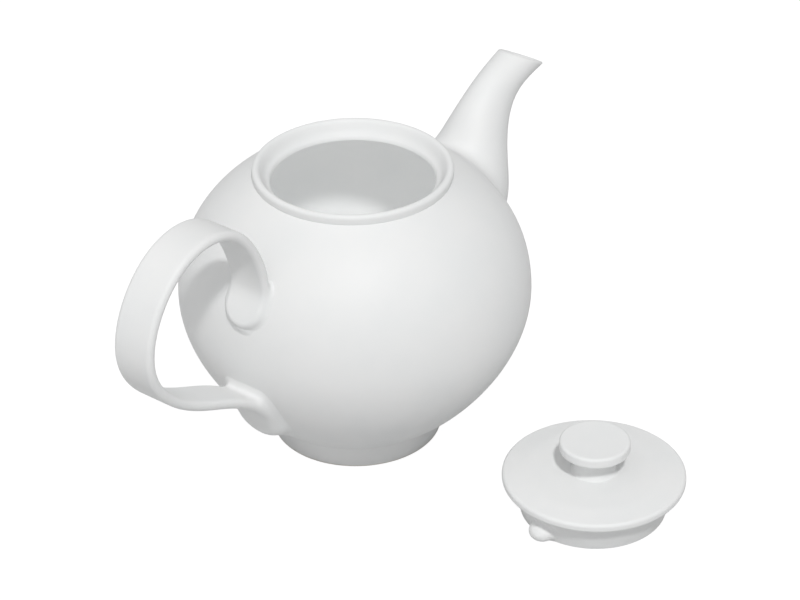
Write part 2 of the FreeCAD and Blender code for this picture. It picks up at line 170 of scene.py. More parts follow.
def lip_steps():
    """From the mouth's edge up the seat, over the lip's crown and down to the neck.

    Glaze pools between the seat and the crown, so the one runs softly into the other.
    """
    half = (LIP_OUTER - LIP_INNER) / 2
    mouth = (MOUTH_RADIUS, MOUTH_HEIGHT)
    below_mouth = (MOUTH_RADIUS, MOUTH_HEIGHT - MOUTH_EDGE)
    seat_start = (MOUTH_RADIUS + MOUTH_EDGE, MOUTH_HEIGHT + MOUTH_EDGE * SEAT_SLOPE)
    pool_start, pool_end = (
        (LIP_INNER - away, SEAT_TOP - away * SEAT_SLOPE)
        for away in (SEAT_POOL, SEAT_POOL / 4))
    crown = (LIP_INNER + half, RIM_HEIGHT)
    before_crown = (LIP_INNER - half / 4, RIM_HEIGHT)
    side = (LIP_OUTER, RIM_HEIGHT - half)
    lip_foot = (LIP_OUTER, RIM_HEIGHT - 2 * half)
    return (
        rounded(below_mouth, mouth, seat_start),
        (pool_start,),
        (pool_end, before_crown, crown),
        rounded(crown, (LIP_OUTER, RIM_HEIGHT), side),
        (lip_foot, mix(NECK, lip_foot, ROUND), NECK),
    )


def foot_steps():
    """From the foot's outer side, under the ring and up to the middle of the recess."""
    outer = FOOT_REST_RADIUS + FOOT_EDGE
    inner = FOOT_REST_RADIUS - FOOT_WALL
    ring = inner - FOOT_EDGE
    return (
        ((outer, FOOT_EDGE),),
        rounded((outer, FOOT_EDGE), (outer, 0), (FOOT_REST_RADIUS, 0)),
        ((inner + FOOT_EDGE, 0),),
        rounded((inner + FOOT_EDGE, 0), (inner, 0), (inner, FOOT_EDGE)),
        ((ring, FOOT_RECESS - RECESS_EDGE),),
        rounded((ring, FOOT_RECESS - RECESS_EDGE), (ring, FOOT_RECESS),
                (ring - RECESS_EDGE, FOOT_RECESS)),
        ((0, FOOT_RECESS),),
    )


def pot_outline():
    """From the middle of the floor up the inside, over the lip and down to the recess."""
    inside = BELLY_RADIUS - WALL
    return outline(
        (0, FLOOR),
        ((FLOOR_RADIUS, FLOOR),),
        ((FLOOR_RADIUS + FLOOR_TURN, FLOOR), (inside, BELLY_HEIGHT - UNDERSIDE_DROP),
         (inside, BELLY_HEIGHT)),
        ((inside, BELLY_HEIGHT + SHOULDER_RISE),
         (SHOULDER_RADIUS - WALL / 2, SHOULDER_HEIGHT - WALL),
         (MOUTH_RADIUS, MOUTH_HEIGHT - MOUTH_LAND)),
        ((MOUTH_RADIUS, MOUTH_HEIGHT - MOUTH_EDGE),),
        *lip_steps(),
        SHOULDER[2::-1],
        UNDERSIDE[1:],
        *foot_steps(),
    )


def envelope_outline():
    """The pot's outer form, closed along its axis: what the spout and handle are luted to."""
    return outline((0, FOOT_HEIGHT), (FOOT_JOINT,), UNDERSIDE[2::-1], SHOULDER[1:],
                   ((0, NECK_HEIGHT),), ((0, FOOT_HEIGHT),))


# lid
SKIRT_HEIGHT = 12.4
SKIRT_TOP = MOUTH_RADIUS - 0.6
SKIRT_FOOT = SKIRT_TOP - 3.6
SKIRT_WALL = 3.4
SKIRT_EDGE = 0.9
FLANGE_EDGE = 1.6
FLANGE_TOP = CROWN_TOP - 1.0
CROWN_RADIUS = 29.5
CROWN_SOFT = 1.6
PLATE = 4.4


def lid_outline():
    """From under the plate, down the skirt's inside and up over the flange to the crown."""
    inner = SKIRT_FOOT - SKIRT_WALL
    under = CROWN_TOP - PLATE
    sole = -SKIRT_EDGE / 3
    seat_end = FLANGE_RADIUS - FLANGE_EDGE
    seat = (seat_end, SKIRT_HEIGHT + (seat_end - SKIRT_TOP) * SEAT_SLOPE)
    edge_foot = (FLANGE_RADIUS, seat[1] + FLANGE_EDGE)
    edge_head = (FLANGE_RADIUS, FLANGE_TOP - FLANGE_EDGE)
    edge_top = (seat_end, FLANGE_TOP)
    crown = (CROWN_RADIUS, CROWN_TOP)
    crown_foot = mix(crown, edge_top, CROWN_SOFT / (seat_end - CROWN_RADIUS))
    return outline(
        (0, under),
        ((inner - SKIRT_WALL, under),),
        rounded((inner - SKIRT_WALL, under), (inner, under), (inner, under - SKIRT_WALL)),
        ((inner, SKIRT_EDGE),),
        ((inner, sole), (SKIRT_FOOT, sole), (SKIRT_FOOT, SKIRT_EDGE)),
        ((SKIRT_TOP, SKIRT_HEIGHT),),
        (seat,),
        rounded(seat, (FLANGE_RADIUS, seat[1]), edge_foot),
        (edge_head,),
        rounded(edge_head, (FLANGE_RADIUS, FLANGE_TOP), edge_top),
        (crown_foot,),
        rounded(crown_foot, crown, (CROWN_RADIUS - CROWN_SOFT, CROWN_TOP)),
        ((0, CROWN_TOP),),
    )


# knob
KNOB_THICKNESS = 5.0
KNOB_EDGE = 1.3
KNOB_NECK = 8.6
KNOB_FOOT = 10.6
KNOB_DISH = 0.25
LUTE_SINK = 0.05


def knob_outline():
    """From the crown up the waisted neck, round the disc's edge and in over its dish."""
    disc = KNOB_TOP - KNOB_THICKNESS
    dish = KNOB_TOP - KNOB_DISH
    neck = (KNOB_NECK, (CROWN_TOP + disc) / 2)
    rim = KNOB_RADIUS - KNOB_EDGE
    base = CROWN_TOP - LUTE_SINK
    return outline(
        (0, base),
        ((KNOB_FOOT, base),),
        rounded((KNOB_FOOT, base), (KNOB_NECK, CROWN_TOP), neck),
        rounded(neck, (KNOB_NECK, disc), (KNOB_FOOT, disc)),
        ((rim, disc),),
        rounded((rim, disc), (KNOB_RADIUS, disc), (KNOB_RADIUS, disc + KNOB_EDGE)),
        ((KNOB_RADIUS, KNOB_TOP - KNOB_EDGE),),
        rounded((KNOB_RADIUS, KNOB_TOP - KNOB_EDGE), (KNOB_RADIUS, KNOB_TOP), (rim, KNOB_TOP)),
        ((rim / 2, dish), (rim / 4, dish), (0, dish)),
    )


# --- meshes -----------------------------------------------------------------------

SHARP_ANGLE = math.radians(40)
TURNS = 256


def make_object(name, points, faces):
    mesh = bpy.data.meshes.new(name)
    mesh.from_pydata((np.asarray(points) * MM).tolist(), [], faces)
    mesh.validate()
    mesh.shade_smooth()
    piece = bpy.data.objects.new(name, mesh)
    bpy.context.scene.collection.objects.link(piece)
    return piece


def grid_faces(rows, columns, closed_rows=False):
    """Quads of a grid whose columns wrap round, and its rows too if they are closed."""
    last = rows if closed_rows else rows - 1
    faces = []
    for i in range(last):
        below, above = i * columns, (i + 1) % rows * columns
        faces += [(below + j, below + (j + 1) % columns, above + (j + 1) % columns, above + j)
                  for j in range(columns)]
    return faces


def revolve(name, points, centre=AXIS, turns=TURNS):
    """Turn an outline that starts and ends on the axis, anticlockwise, into a closed mesh."""
    radius, height = points[1:-1].T
    angle = np.arange(turns) * 2 * math.pi / turns
    ring = np.stack([np.cos(angle), np.sin(angle)], 1)
    flat = radius[:, None, None] * ring + centre
    rows = len(radius)
    body = np.concatenate([flat, np.broadcast_to(height[:, None, None], (rows, turns, 1))], 2)
    ends = [[*centre, points[0][1]], [*centre, points[-1][1]]]
    vertices = np.concatenate([body.reshape(-1, 3), ends])
    first, last, top = rows * turns, rows * turns + 1, (rows - 1) * turns
    faces = grid_faces(rows, turns)
    faces += [(first, (j + 1) % turns, j) for j in range(turns)]
    faces += [(last, top + j, top + (j + 1) % turns) for j in range(turns)]
    return make_object(name, vertices, faces)


def turn_outward(piece):
    """Flip the faces if the closed mesh encloses a negative volume."""
    work = bmesh.new()
    work.from_mesh(piece.data)
    if work.calc_volume(signed=True) < 0:
        bmesh.ops.reverse_faces(work, faces=work.faces)
        work.to_mesh(piece.data)
    work.free()
    piece.data.shade_smooth()


# --- distance fields ----------------------------------------------------------------

class Table:
    """Numbers on a regular grid over a plane, read between the grid's points."""

    def __init__(self, low, high, step, function):
        self.low, self.step = np.array(low, float), step
        axes = [np.arange(a, b + step, step) for a, b in zip(low, high)]
        across, up = np.meshgrid(*axes, indexing="ij")
        self.values = function(np.stack([across.ravel(), up.ravel()], 1)).reshape(across.shape)

    def __call__(self, points):
        place = (points - self.low) / self.step
        limit = np.array(self.values.shape) - 2
        cell = np.clip(np.floor(place).astype(int), 0, limit)
        u, v = (np.clip(place - cell, 0, 1)).T
        i, j = cell.T
        return ((1 - u) * (1 - v) * self.values[i, j] + u * (1 - v) * self.values[i + 1, j]
                + (1 - u) * v * self.values[i, j + 1] + u * v * self.values[i + 1, j + 1])


CHUNK = 4000


def nearest_on(points, chain):
    """Distance from each point to a chain of points, and the place along it, in lengths."""
    start, run = chain[:-1], np.diff(chain, axis=0)
    lengths = np.linalg.norm(run, axis=1)
    before = np.concatenate([[0], np.cumsum(lengths)[:-1]])
    distance, place = np.empty(len(points)), np.empty(len(points))
    for first in range(0, len(points), CHUNK):
        offset = points[first:first + CHUNK, None] - start
        share = np.clip((offset * run).sum(2) / lengths ** 2, 0, 1)
        gap = np.linalg.norm(offset - share[..., None] * run, axis=2)
        best = gap.argmin(1)
        rows = np.arange(len(best))
        distance[first:first + CHUNK] = gap[rows, best]
        place[first:first + CHUNK] = before[best] + share[rows, best] * lengths[best]
    return distance, place


def inside_of(points, chain):
    """Whether each point is inside a closed outline, by counting the edges beside it."""
    crossings = np.zeros(len(points), int)
    for (x0, y0), (x1, y1) in zip(chain[:-1], chain[1:]):
        if y0 == y1:
            continue
        spans = (points[:, 1] >= min(y0, y1)) & (points[:, 1] < max(y0, y1))
        crossings += spans & (points[:, 0] < x0 + (points[:, 1] - y0) / (y1 - y0) * (x1 - x0))
    return crossings % 2 == 1


def turned_field(chain, low, high, step):
    """Signed distance to a turned form, as a function of points about its axis."""
    surface = chain[(chain[:, 0] > 0)]

    def signed(points):
        return np.where(inside_of(points, chain), -1, 1) * nearest_on(points, surface)[0]

    table = Table(low, high, step, signed)
    return lambda p: table(np.stack([np.hypot(p[:, 0], p[:, 1]), p[:, 2]], 1))


FIELD_STEP = 0.5
# the part of the (radius, height) plane that the spout and the handle reach
POT_FIELD_LOW = (20, 5)
POT_FIELD_HIGH = (110, 150)
pot_field = turned_field(envelope_outline(), POT_FIELD_LOW, POT_FIELD_HIGH, FIELD_STEP)


def gradient(field, points, reach):
    """The field's slope at each point, from its values that far to either side."""
    columns = []
    for axis in np.eye(3) * reach:
        columns.append((field(points + axis) - field(points - axis)) / (2 * reach))
    return np.stack(columns, 1)


def soft_union(a, b, k):
    """The union of two distances with a fillet that reaches k along each of them."""
    return np.minimum(a, b) - np.maximum(k - np.abs(a - b), 0) ** 2 / (4 * k)


def smooth(share):
    return share * share * (3 - 2 * share)


# how far a luted edge lies below the surface it joins, and how deep its root goes in
ROOT_SINK = 0.25
ROOT_SKIN = 1.0


def luted(part, wall, reach, sink_rate, sink, skin=ROOT_SKIN):
    """A part's distance with a fillet into a wall, cut off a little below the wall's surface.

    The fillet's far edge sinks into the wall, so that no seam shows there.
    """
    edge = np.clip((part - reach) / reach * sink_rate + 1, 0, 1) * sink
    root = np.maximum(-(wall + skin), part - reach)
    return np.maximum(soft_union(part, wall, reach) + edge, root)


SETTLE_STEPS = 8
LEAST_SQUARE_SLOPE = 0.1


def mean_crossings(lattice, values, mixed, step):
    """The mean of the places where the zero surface crosses the edges of each mixed cell."""
    total, crossings = np.zeros(mixed.shape + (3,)), np.zeros(mixed.shape + (1,))
    for axis in range(3):
        starts = tuple(slice(0, -1) if a == axis else slice(None) for a in range(3))
        ends = tuple(slice(1, None) if a == axis else slice(None) for a in range(3))
        near, far = values[starts], values[ends]
        crosses = (near < 0) != (far < 0)
        share = np.where(crosses, near / np.where(crosses, near - far, 1), 0)
        spot = lattice[starts] + share[..., None] * step * np.eye(3)[axis]
        spot *= crosses[..., None]
        for corner in np.ndindex(2, 2):
            first = np.insert(corner, axis, 0)
            cut = tuple(slice(i, i + n) for i, n in zip(first, mixed.shape))
            total += spot[cut]
            crossings += crosses[cut][..., None]
    return total[mixed] / crossings[mixed]


def surface_net(name, field, low, high, step, reach):
    """Mesh the zero surface of a field: one vertex a cell, the mean of its edges' crossings."""
    axes = [np.arange(a, b + step, step) for a, b in zip(low, high)]
    shape = tuple(len(a) for a in axes)
    lattice = np.stack(np.meshgrid(*axes, indexing="ij"), -1)
    values = field(lattice.reshape(-1, 3)).reshape(shape)
    inside = values < 0
    count = sum(inside[i:shape[0] - 1 + i, j:shape[1] - 1 + j, k:shape[2] - 1 + k].astype(int)
                for i in (0, 1) for j in (0, 1) for k in (0, 1))
    mixed = (count > 0) & (count < 8)
    number = np.full(mixed.shape, -1)
    number[mixed] = np.arange(mixed.sum())
    points = mean_crossings(lattice, values, mixed, step)
    middle = points.copy()
    for _ in range(SETTLE_STEPS):
        slope = gradient(field, points, reach)
        square = np.maximum((slope ** 2).sum(1), LEAST_SQUARE_SLOPE)
        points -= (field(points) / square)[:, None] * slope
        points = np.clip(points, middle - step / 2, middle + step / 2)
    faces = []
    for axis in range(3):
        first = np.moveaxis(inside, axis, 0)
        cells = np.moveaxis(number, axis, 0)
        change = first[:-1, 1:-1, 1:-1] != first[1:, 1:-1, 1:-1]
        i, j, k = np.nonzero(change)
        around = [cells[i, j, k], cells[i, j + 1, k], cells[i, j + 1, k + 1], cells[i, j, k + 1]]
        quads = np.stack(around, 1)
        flip = first[:-1, 1:-1, 1:-1][i, j, k] == (axis == 1)
        quads[flip] = quads[flip][:, ::-1]
        faces += quads.tolist()
    piece = make_object(name, points, faces)
    normals = gradient(field, points, reach)
    normals /= np.linalg.norm(normals, axis=1)[:, None]
    turn_outward(piece)
    piece.data.normals_split_custom_set_from_vertices(normals.tolist())
    return piece


# --- pot ----------------------------------------------------------------------------

def make_pot():
    piece = revolve("pot_body_porcelain", pot_outline())
    turn_outward(piece)
    pierce(piece)
    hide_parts("pot_body")
    return piece


HOLE_SIDES = 40


def pierce(piece):
    """Cut the strainer's holes through the wall behind the spout."""
    spots = [(0, 0)]
    for number in range(STRAINER_RING):
        angle = 2 * math.pi * number / STRAINER_RING
        spots.append((STRAINER_PITCH * math.cos(angle), STRAINER_PITCH * math.sin(angle)))
    angle = np.arange(HOLE_SIDES) * 2 * math.pi / HOLE_SIDES
    points, faces = [], []
    for across, up in spots:
        first = len(points)
        for x in (BELLY_RADIUS / 2, BELLY_RADIUS + WALL):
            points += [(x, across + STRAINER_HOLE * math.cos(a),
                        STRAINER_HEIGHT + up + STRAINER_HOLE * math.sin(a)) for a in angle]
        near = [first + j for j in range(HOLE_SIDES)]
        far = [first + HOLE_SIDES + j for j in range(HOLE_SIDES)]
        faces += [near[::-1], far]
        faces += [(near[j], near[(j + 1) % HOLE_SIDES], far[(j + 1) % HOLE_SIDES], far[j])
                  for j in range(HOLE_SIDES)]
    cutter = make_object("strainer_cutter", points, faces)
    bore = piece.modifiers.new("strainer", "BOOLEAN")
    bore.operation = "DIFFERENCE"
    bore.solver = "EXACT"
    bore.object = cutter
    bpy.context.view_layer.update()
    graph = bpy.context.evaluated_depsgraph_get()
    pierced = bpy.data.meshes.new_from_object(piece.evaluated_get(graph))
    piece.modifiers.clear()
    piece.data = pierced
    bpy.data.objects.remove(cutter)
    piece.data.shade_smooth()
    piece.data.set_sharp_from_angle(angle=SHARP_ANGLE)


# --- spout --------------------------------------------------------------------------

# from root to tip: centre (out, up), tilt of the section in degrees, half depth, half width
SPOUT_SECTIONS = (
    (67.0, 87.0, 76.0, 29.5, 26.5),
    (82.3, 91.9, 59.0, 24.0, 22.0),
    (91.3, 109.7, 47.0, 17.0, 14.7),
    (104.9, 129.0, 38.0, 11.4, 9.7),
    (123.6, 136.4, 30.0, 12.4, 10.0),
)
SPOUT_WALL = 2.8
SPOUT_LIP = 2.0
SPOUT_BLEND = 7.0
SPOUT_SIDES = 128
SPOUT_ROWS = 72
BLEND_ROWS = 20
LIP_ROWS = 8
SEARCH_STEPS = 500
# the wall thins to the lip over one part in this many of the spout's length
LIP_TAPER = 3
# a place a little back from the tip, which is at 1
BEFORE_TIP = 0.97
# steps along, round and into the surface that show which way it faces
SMALL_STEP = 1e-3
INSET_PROBE = 0.1
FILLET_SETTLE_STEPS = 3


def spline(knots, values, t):
    """A natural cubic spline through rows of values, read at t."""
    n = len(knots)
    gaps = np.diff(knots)
    matrix, right = np.eye(n), np.zeros((n, values.shape[1]))
    slopes = np.diff(values, axis=0) / gaps[:, None]
    for i in range(1, n - 1):
        matrix[i, i - 1:i + 2] = gaps[i - 1], 2 * (gaps[i - 1] + gaps[i]), gaps[i]
        right[i] = 6 * (slopes[i] - slopes[i - 1])
    bends = np.linalg.solve(matrix, right)
    cell = np.clip(np.searchsorted(knots, t, side="right") - 1, 0, n - 2)
    gap = gaps[cell][:, None]
    left = (t - knots[cell])[:, None]
    rest = gap - left
    return (bends[cell] * rest ** 3 / (6 * gap) + bends[cell + 1] * left ** 3 / (6 * gap)
            + (values[cell] / gap - bends[cell] * gap / 6) * rest
            + (values[cell + 1] / gap - bends[cell + 1] * gap / 6) * left)


def spout_points(t, angle, inset=0.0):
    """Points of the spout's surface at places t from root to tip and angles round it."""
    sections = np.array(SPOUT_SECTIONS)
    steps = np.linalg.norm(np.diff(sections[:, :2], axis=0), axis=1)
    knots = np.concatenate([[0], np.cumsum(steps)]) / steps.sum()
    out, up, tilt, depth, width = spline(knots, sections, np.ravel(t)).T
    tilt = np.radians(tilt)
    turn = np.ravel(angle)
    along = (depth - inset) * np.cos(turn)
    across = (width - inset) * np.sin(turn)
    return np.stack([out + along * np.cos(tilt), across, up - along * np.sin(tilt)], 1)


def unit(vectors):
    return vectors / np.linalg.norm(vectors, axis=-1, keepdims=True)


def make_spout():
    """Rings from the tip down the outside, round the root and up the channel to the lip."""
    angle = np.arange(SPOUT_SIDES) * 2 * math.pi / SPOUT_SIDES
    search = np.linspace(1, 0, SEARCH_STEPS)
    t, turn = np.meshgrid(search, angle, indexing="ij")
    height = pot_field(spout_points(t, turn)).reshape(t.shape)

    def place_at(above, inset=0.0):
        """Where each side's line, coming from the tip, is that far above the pot's surface."""
        clear = height
        if inset:
            clear = pot_field(spout_points(t, turn, inset)).reshape(t.shape)
        first = (clear < above).argmax(0)
        columns = np.arange(SPOUT_SIDES)
        high, low = clear[first - 1, columns], clear[first, columns]
        share = (high - above) / (high - low)
        return search[first - 1] + share * (search[first] - search[first - 1])

    def wall_inset(place):
        return SPOUT_LIP + (SPOUT_WALL - SPOUT_LIP) * np.clip(LIP_TAPER * (1 - place), 0, 1)

    rows = []
    start = place_at(SPOUT_BLEND)
    for share in np.linspace(0, 1, SPOUT_ROWS):
        rows.append(spout_points(1 + share * (start - 1), angle))
    for u in np.linspace(-SPOUT_BLEND, SPOUT_BLEND, BLEND_ROWS + 1)[1:]:
        bulge = (SPOUT_BLEND - abs(u)) ** 2 / (4 * SPOUT_BLEND)
        rows.append(blend_row(place_at, angle, bulge + max(u, 0), bulge + max(-u, 0)))
    rows.append(blend_row(place_at, angle, SPOUT_BLEND + ROOT_SINK, -ROOT_SINK))
    bottom = place_at(-ROOT_SINK, SPOUT_WALL)
    for share in np.linspace(1, 0, SPOUT_ROWS):
        place = 1 + share * (bottom - 1)
        rows.append(spout_points(place, angle, wall_inset(place)))
    outer, inner = rows[0], rows[-1]
    middle, half = (outer + inner) / 2, (outer - inner) / 2
    onward = unit(spout_points(np.ones(SPOUT_SIDES), angle)
                  - spout_points(np.full(SPOUT_SIDES, BEFORE_TIP), angle))
    bulge = np.linalg.norm(half, axis=1)[:, None] * onward
    for turn_over in np.linspace(0, math.pi, LIP_ROWS + 2)[1:-1]:
        rows.append(middle - half * math.cos(turn_over) + bulge * math.sin(turn_over))
    piece = make_object("spout_porcelain", np.concatenate(rows),
                        grid_faces(len(rows), SPOUT_SIDES, closed_rows=True))
    turn_outward(piece)
    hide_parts("spout")
    return piece


def blend_row(place_at, angle, away, above):
    """A ring of the root's fillet: this far from the spout's surface and above the pot's."""
    place = place_at(above)
    points = spout_points(place, angle)
    along = unit(spout_points(place + SMALL_STEP, angle) - points)
    round_it = unit(spout_points(place, angle + SMALL_STEP) - points)
    outward = unit(np.cross(along, round_it))
    middle = spout_points(place, angle, INSET_PROBE)
    outward *= np.sign(((points - middle) * outward).sum(1))[:, None]
    up = unit(gradient(pot_field, points, FIELD_STEP))
    slide = unit(outward - (outward * up).sum(1)[:, None] * up)
    points = points + slide * (away / (slide * outward).sum(1))[:, None]
    for _ in range(FILLET_SETTLE_STEPS):
        up = unit(gradient(pot_field, points, FIELD_STEP))
        points = points + up * (above - pot_field(points))[:, None]
    return points


# --- handle -------------------------------------------------------------------------

STRAP_THICKNESS = 4.6
LUTE_DEPTH = 1.2
STRAP_EDGE = STRAP_THICKNESS / 2
STRAP_CELL = 0.8
LOOP_STEPS = 900
UPPER_BLEND = 3.0
LOWER_BLEND = 7.0
STRAP_ROOM = LOWER_BLEND + 2
STRAP_SLOPE_REACH = 0.2
STRAP_SINK_RATE = 2
# the lower end swells over this last stretch of the strap, by this much on each side
SWELL_LENGTH = 24.0
SWELL = 3.4
FINE_STEPS = 1000
# places along the shoulder's and the underside's curves that the strap's middle lies on
UPPER_END = 0.187
UPPER_START = 0.315
LOWER_END = 0.618
# the loop's other poles: one beyond the upper start, the rest beyond the belly's widest place
LOOP_START = (9.0, 2.0)
LOOP = ((2.7, 77.3), (48.0, 77.3), (73.4, 30.9), (40.1, -4.1), (-5.9, -15.7))


def on_side(curve, place):
    """The strap's middle where it lies on the pot's side, sunk for luting."""
    out, up = bezier(curve, FINE_STEPS)[round(place * FINE_STEPS)]
    return -(out + STRAP_EDGE - LUTE_DEPTH), up


def loop_poles():
    upper_end, upper_start = on_side(SHOULDER, UPPER_END), on_side(SHOULDER, UPPER_START)
    return np.array([
        upper_end,
        upper_start,
        (upper_start[0] + LOOP_START[0], upper_start[1] + LOOP_START[1]),
        *((-(BELLY_RADIUS + out), BELLY_HEIGHT + up) for out, up in LOOP),
        on_side(UNDERSIDE, LOWER_END),
    ])


def b_spline(poles, count):
    """Points along a clamped cubic B-spline, by de Boor's recursion."""
    spans = len(poles) - 3
    knots = np.concatenate([[0] * 3, np.arange(spans + 1), [spans] * 3]).astype(float)
    points = []
    for t in np.linspace(0, spans, count):
        k = min(int(t), spans - 1) + 3
        d = [poles[j + k - 3] for j in range(4)]
        for r in range(1, 4):
            for j in range(3, r - 1, -1):
                left = knots[j + k - 3]
                share = (t - left) / (knots[j + 1 + k - r] - left)
                d[j] = (1 - share) * d[j - 1] + share * d[j]
        points.append(d[3])
    return np.array(points)


def make_handle():
    """The strap round its loop, luted to the shoulder and to the underside with fillets."""
    chain = b_spline(loop_poles(), LOOP_STEPS)
    length = np.linalg.norm(np.diff(chain, axis=0), axis=1).sum()
    low, high = STRAP_LOW - STRAP_ROOM, STRAP_HIGH + STRAP_ROOM
    plane_low, plane_high = low[[0, 2]], high[[0, 2]]
    gap_table = Table(plane_low, plane_high, FIELD_STEP, lambda p: nearest_on(p, chain)[0])
    place_table = Table(plane_low, plane_high, FIELD_STEP, lambda p: nearest_on(p, chain)[1])

    def swell(place):
        share = np.clip((place - length + SWELL_LENGTH) / SWELL_LENGTH, 0, 1)
        return SWELL * smooth(share)

    def past_flat(place, across):
        """How far a point lies past the strap's flat, whose two ends are half circles."""
        flat = STRAP_WIDTH / 2 - STRAP_EDGE - swell(place) / 2
        end = flat + STRAP_EDGE + swell(place) - np.minimum(place, length - place)
        return np.hypot(across, np.maximum(end, 0)) - flat

    def strap(p):
        flat = p[:, [0, 2]]
        gap, place = gap_table(flat), place_table(flat)
        over = np.maximum(past_flat(place, p[:, 1]), 0)
        return np.hypot(over, gap) - STRAP_EDGE - swell(place)

    def reach_of(p):
        """How far the fillet reaches, small at the upper root and wide at the lower one."""
        share = np.clip(place_table(p[:, [0, 2]]) / length, 0, 1)
        return UPPER_BLEND + smooth(share) * (LOWER_BLEND - UPPER_BLEND)

    def handle(p):
        return luted(strap(p), pot_field(p), reach_of(p), STRAP_SINK_RATE, ROOT_SINK,
                     ROOT_SKIN + ROOT_SINK)

    piece = surface_net("handle_porcelain", handle, low, high, STRAP_CELL, STRAP_SLOPE_REACH)
    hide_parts("handle")
    return piece


# --- lid ----------------------------------------------------------------------------

LUG_ANGLE = math.radians(174)
# half sizes: outward, sideways and up
LUG_SIZE = np.array([5.6, 5.8, 4.4])
LUG_REACH = MOUTH_RADIUS + 3.0
LUG_BLEND = 3.0
# the lug's underside stays this far above the ground
LUG_REST = 0.1
LUG_CELL = 0.25
LUG_SLOPE_REACH = 0.1
LUG_SINK_RATE = 3
LUG_FIELD_STEP = 0.2
LUG_FIELD_LOW = (20, -6)
LUG_FIELD_HIGH = (50, 30)
TINY = 1e-6


def make_lid():
    piece = revolve("lid_porcelain", lid_outline(), LID_CENTRE)
    turn_outward(piece)
    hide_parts("lid")
    return piece


def make_knob():
    piece = revolve("lid_knob_porcelain", knob_outline(), LID_CENTRE, TURNS // 2)
    turn_outward(piece)
    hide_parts("lid_knob")
    return piece


def make_lug():
    """The rounded lug, drawn out of the skirt's lower edge."""
    closed = np.concatenate([lid_outline(), [[0, CROWN_TOP - PLATE]]])
    skirt = turned_field(closed, LUG_FIELD_LOW, LUG_FIELD_HIGH, LUG_FIELD_STEP)
    out = np.array([math.cos(LUG_ANGLE), math.sin(LUG_ANGLE)])
    side = np.array([-out[1], out[0]])
    middle = np.array([LUG_REACH - LUG_SIZE[0], 0, LUG_LOW[2] + LUG_SIZE[2]])

    def own(p):
        """Places from the lid's axis: towards the lug, sideways and up."""
        flat = p[:, :2] - LID_CENTRE
        return np.stack([flat @ out, flat @ side, p[:, 2]], 1)

    def nub(q):
        """Near enough the distance to an ellipsoid."""
        scaled = (q - middle) / LUG_SIZE
        size = np.linalg.norm(scaled, axis=1)
        slope = np.linalg.norm(scaled / LUG_SIZE, axis=1)
        return size * (size - 1) / np.maximum(slope, TINY)

    def lug(p):
        q = own(p)
        joined = luted(nub(q), skirt(q), LUG_BLEND, LUG_SINK_RATE, ROOT_SINK / 2)
        return np.maximum(joined, LUG_REST - p[:, 2])

    centre = np.array([*(LID_CENTRE + out * middle[0]), middle[2]])
    room = LUG_SIZE + LUG_BLEND + 1
    piece = surface_net("lid_lug_porcelain", lug, centre - room, centre + room, LUG_CELL,
                        LUG_SLOPE_REACH)
    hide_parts("lid_lug")
    return piece


# --- porcelain ------------------------------------------------------------------------

GLAZE = (0.80, 0.803, 0.80, 1)
GLAZE_DEEP = (0.775, 0.785, 0.785, 1)
BISQUE = (0.74, 0.72, 0.68, 1)
BISQUE_DARK = tuple(0.9 * c for c in BISQUE[:3]) + (1,)
GLAZE_IOR = 1.5
SPECULAR_LEVEL = 0.22
COAT_WEIGHT = 0.06
COAT_ROUGHNESS = 0.4
GLOSS_LOW = 0.48
GLOSS_HIGH = 0.6
BARE_ROUGHNESS = 0.9
# the glaze's edge fades between these shares of its height
BARE_EDGE = (0.85, 1.15)
# scale, detail and roughness of each noise
CLOUD_NOISE = (38.0, 4.0, 0.55)
GLOSS_NOISE = (120.0, 3.0, 0.5)
RIPPLE_NOISE = (420.0, 2.0, 0.5)
GRAIN_NOISE = (2600.0, 5.0, 0.7)
# the part of a noise's values that is stretched over the whole range
NOISE_SPAN = (0.3, 0.7)
RIPPLE_STRENGTH = 0.12
RIPPLE_DEPTH = 0.00006


def set_range(node, from_low, from_high, to_low, to_high):
    for name, value in (("From Min", from_low), ("From Max", from_high),
                        ("To Min", to_low), ("To Max", to_high)):
        node.inputs[name].default_value = value


